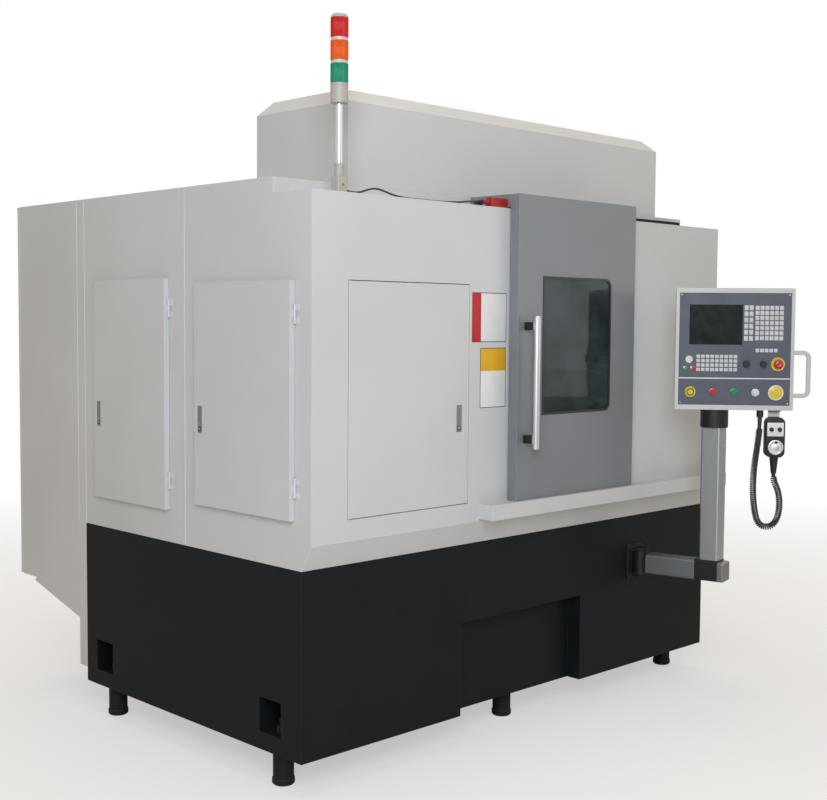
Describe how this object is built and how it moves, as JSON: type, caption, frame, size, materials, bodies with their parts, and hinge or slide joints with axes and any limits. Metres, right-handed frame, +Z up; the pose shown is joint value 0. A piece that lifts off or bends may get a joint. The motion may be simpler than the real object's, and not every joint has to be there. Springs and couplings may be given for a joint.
{
  "type": "gear hobbing machine",
  "caption": "Enclosed CNC gear hobbing machine with a sliding window door, roof hood, tower lamp and a control panel on a swing arm.",
  "frame": {"origin": "on the floor, at the middle of the machine's width and depth (the control panel and the side doors included)", "axes": "+X to the right along the front, +Y to the back, +Z up"},
  "size_m": [2.422, 2.6278, 2.629],
  "materials": {
    "base_paint": "satin",
    "enclosure_paint": "satin",
    "door_paint": "satin",
    "machine_paint": "satin",
    "cabinet_inside": "satin",
    "black_plastic": "matte",
    "aluminium": "brushed",
    "ground_steel": "ground",
    "black_metal": "satin",
    "gasket_rubber": "matte",
    "window_glass": "clear",
    "lamp_red": "gloss",
    "lamp_orange": "gloss",
    "lamp_green": "gloss",
    "red_plastic": "satin",
    "cable_sheath": "matte",
    "panel_paint": "satin",
    "panel_film": "satin",
    "screen_glass": "gloss",
    "key_film": "satin",
    "button_red": "gloss",
    "button_green": "gloss",
    "button_white": "gloss",
    "button_yellow": "gloss"
  },
  "bodies": {
    "machine": {"base_frame": "base_paint", "levelling_feet": "black_metal", "front_panel": "enclosure_paint", "left_panels": "enclosure_paint", "right_panel": "enclosure_paint", "front_roof_strip": "enclosure_paint", "roof_panel": "enclosure_paint", "roof_hood": "enclosure_paint", "cabinet_posts": "enclosure_paint", "electrical_cabinet": "enclosure_paint", "drive_units": "cabinet_inside", "door_sill": "enclosure_paint", "door_top_rail": "black_metal", "lamp_stand": "aluminium", "lamp_green": "lamp_green", "lamp_orange": "lamp_orange", "lamp_red": "lamp_red", "interlock_switch": "red_plastic", "interlock_cable": "cable_sheath", "arm_bracket": "black_metal", "machine_bed": "machine_paint", "tailstock_column": "machine_paint", "hydraulic_unit": "machine_paint"},
    "door": {"sliding_door": "door_paint", "window_gasket": "gasket_rubber", "window_glass": "window_glass", "door_handle": "aluminium"},
    "access_door": {"front_access_door": "enclosure_paint"},
    "access_latch": {"front_access_latch": "black_plastic"},
    "side_door_front": {"left_front_door": "enclosure_paint"},
    "side_latch_front": {"left_front_latch": "black_plastic"},
    "side_door_rear": {"left_rear_door": "enclosure_paint"},
    "side_latch_rear": {"left_rear_latch": "black_plastic"},
    "cabinet_door_left": {"cabinet_left_door": "enclosure_paint"},
    "cabinet_door_right": {"cabinet_right_door": "enclosure_paint"},
    "swing_arm": {"arm_tube": "aluminium", "arm_couplings": "black_plastic", "column_tube": "aluminium"},
    "panel": {"panel_housing": "panel_paint", "panel_face": "panel_film", "panel_screen": "screen_glass", "panel_keys": "key_film", "panel_handle": "panel_paint", "handwheel_unit": "black_plastic", "handwheel_cord": "cable_sheath"},
    "stop_button": {"emergency_stop": "button_red"},
    "button_red": {"red_button": "button_red"},
    "button_green": {"green_button": "button_green"},
    "button_white": {"white_button": "button_white"},
    "switch_key": {"key_switch": "button_yellow"},
    "knob_feed": {"feed_knob": "black_plastic"},
    "knob_speed": {"speed_knob": "black_plastic"},
    "hand_wheel": {"handwheel": "aluminium"},
    "column": {"hob_column": "machine_paint"},
    "slide": {"hob_slide": "machine_paint"},
    "head": {"hob_head": "machine_paint"},
    "arbor": {"hob_arbor": "ground_steel"},
    "table": {"work_table": "ground_steel"},
    "tailstock": {"tailstock_arm": "machine_paint"}
  },
  "joints": [
    {"name": "door_slide", "type": "slide", "parent": "machine", "child": "door", "axis": [1, 0, 0], "range_m": [0, 0.64]},
    {"name": "access_door_hinge", "type": "hinge", "parent": "machine", "child": "access_door", "pos_m": [-1.02, -0.688, 1.3435], "axis": [0, 0, -1], "range_deg": [0, 95]},
    {"name": "access_latch_lift", "type": "hinge", "parent": "access_door", "child": "access_latch", "pos_m": [-0.488, -0.69, 1.298], "axis": [-1, 0, 0], "range_deg": [0, 55], "stiffness_Nm_per_rad": 0.05, "springref_deg": -11.46},
    {"name": "left_front_door_hinge", "type": "hinge", "parent": "machine", "child": "side_door_front", "pos_m": [-1.1945, -0.6133, 1.343], "axis": [0, 0, 1], "range_deg": [0, 110]},
    {"name": "left_front_latch_lift", "type": "hinge", "parent": "side_door_front", "child": "side_latch_front", "pos_m": [-1.207, -0.092, 1.294], "axis": [0, 1, 0], "range_deg": [0, 55], "stiffness_Nm_per_rad": 0.05, "springref_deg": -11.46},
    {"name": "left_rear_door_hinge", "type": "hinge", "parent": "machine", "child": "side_door_rear", "pos_m": [-1.1945, 0.1267, 1.331], "axis": [0, 0, 1], "range_deg": [0, 110]},
    {"name": "left_rear_latch_lift", "type": "hinge", "parent": "side_door_rear", "child": "side_latch_rear", "pos_m": [-1.207, 0.603, 1.276], "axis": [0, 1, 0], "range_deg": [0, 55], "stiffness_Nm_per_rad": 0.05, "springref_deg": -11.46},
    {"name": "cabinet_left_hinge", "type": "hinge", "parent": "machine", "child": "cabinet_door_left", "pos_m": [-1.181, 1.2955, 1.29], "axis": [0, 0, 1], "range_deg": [0, 120]},
    {"name": "cabinet_right_hinge", "type": "hinge", "parent": "machine", "child": "cabinet_door_right", "pos_m": [1.203, 1.2955, 1.29], "axis": [0, 0, -1], "range_deg": [0, 120]},
    {"name": "arm_swing", "type": "hinge", "parent": "machine", "child": "swing_arm", "pos_m": [0.671, -0.686, 0.578], "axis": [0, 0, 1], "range_deg": [-30, 15]},
    {"name": "panel_swivel", "type": "hinge", "parent": "swing_arm", "child": "panel", "pos_m": [0.73703, -0.994, 1.256], "axis": [0, 0, 1], "range_deg": [-60, 35]},
    {"name": "stop_press", "type": "slide", "parent": "panel", "child": "stop_button", "axis": [0.766, 0.6428, 0], "range_m": [0, 0.006], "stiffness_N_per_m": 400, "springref_m": -0.002},
    {"name": "red_press", "type": "slide", "parent": "panel", "child": "button_red", "axis": [0.766, 0.6428, 0], "range_m": [0, 0.004], "stiffness_N_per_m": 400, "springref_m": -0.002},
    {"name": "green_press", "type": "slide", "parent": "panel", "child": "button_green", "axis": [0.766, 0.6428, 0], "range_m": [0, 0.004], "stiffness_N_per_m": 400, "springref_m": -0.002},
    {"name": "white_press", "type": "slide", "parent": "panel", "child": "button_white", "axis": [0.766, 0.6428, 0], "range_m": [0, 0.004], "stiffness_N_per_m": 400, "springref_m": -0.002},
    {"name": "key_turn", "type": "hinge", "parent": "panel", "child": "switch_key", "pos_m": [0.62165, -0.94984, 1.329], "axis": [0.766, 0.6428, 0], "range_deg": [0, 90]},
    {"name": "feed_turn", "type": "hinge", "parent": "panel", "child": "knob_feed", "pos_m": [0.76563, -1.12143, 1.446], "axis": [0.766, 0.6428, 0], "range_deg": [-135, 135]},
    {"name": "speed_turn", "type": "hinge", "parent": "panel", "child": "knob_speed", "pos_m": [0.80998, -1.17429, 1.446], "axis": [0.766, 0.6428, 0], "range_deg": [-135, 135]},
    {"name": "handwheel_turn", "type": "hinge", "parent": "panel", "child": "hand_wheel", "pos_m": [0.83792, -1.22003, 1.106], "axis": [0.766, 0.6428, 0], "continuous": true},
    {"name": "column_infeed", "type": "slide", "parent": "machine", "child": "column", "axis": [1, 0, 0], "range_m": [0, 0.18]},
    {"name": "slide_lift", "type": "slide", "parent": "column", "child": "slide", "axis": [0, 0, 1], "range_m": [-0.15, 0.3]},
    {"name": "head_tilt", "type": "hinge", "parent": "slide", "child": "head", "pos_m": [-0.363, -0.224, 1.4], "axis": [1, 0, 0], "range_deg": [-45, 45]},
    {"name": "hob_turn", "type": "hinge", "parent": "head", "child": "arbor", "pos_m": [-0.151, -0.224, 1.4], "axis": [0, 1, 0], "continuous": true},
    {"name": "table_turn", "type": "hinge", "parent": "machine", "child": "table", "pos_m": [0.145, -0.224, 0.925], "axis": [0, 0, 1], "continuous": true},
    {"name": "tailstock_lift", "type": "slide", "parent": "machine", "child": "tailstock", "axis": [0, 0, 1], "range_m": [-0.13, 0.3]}
  ]
}
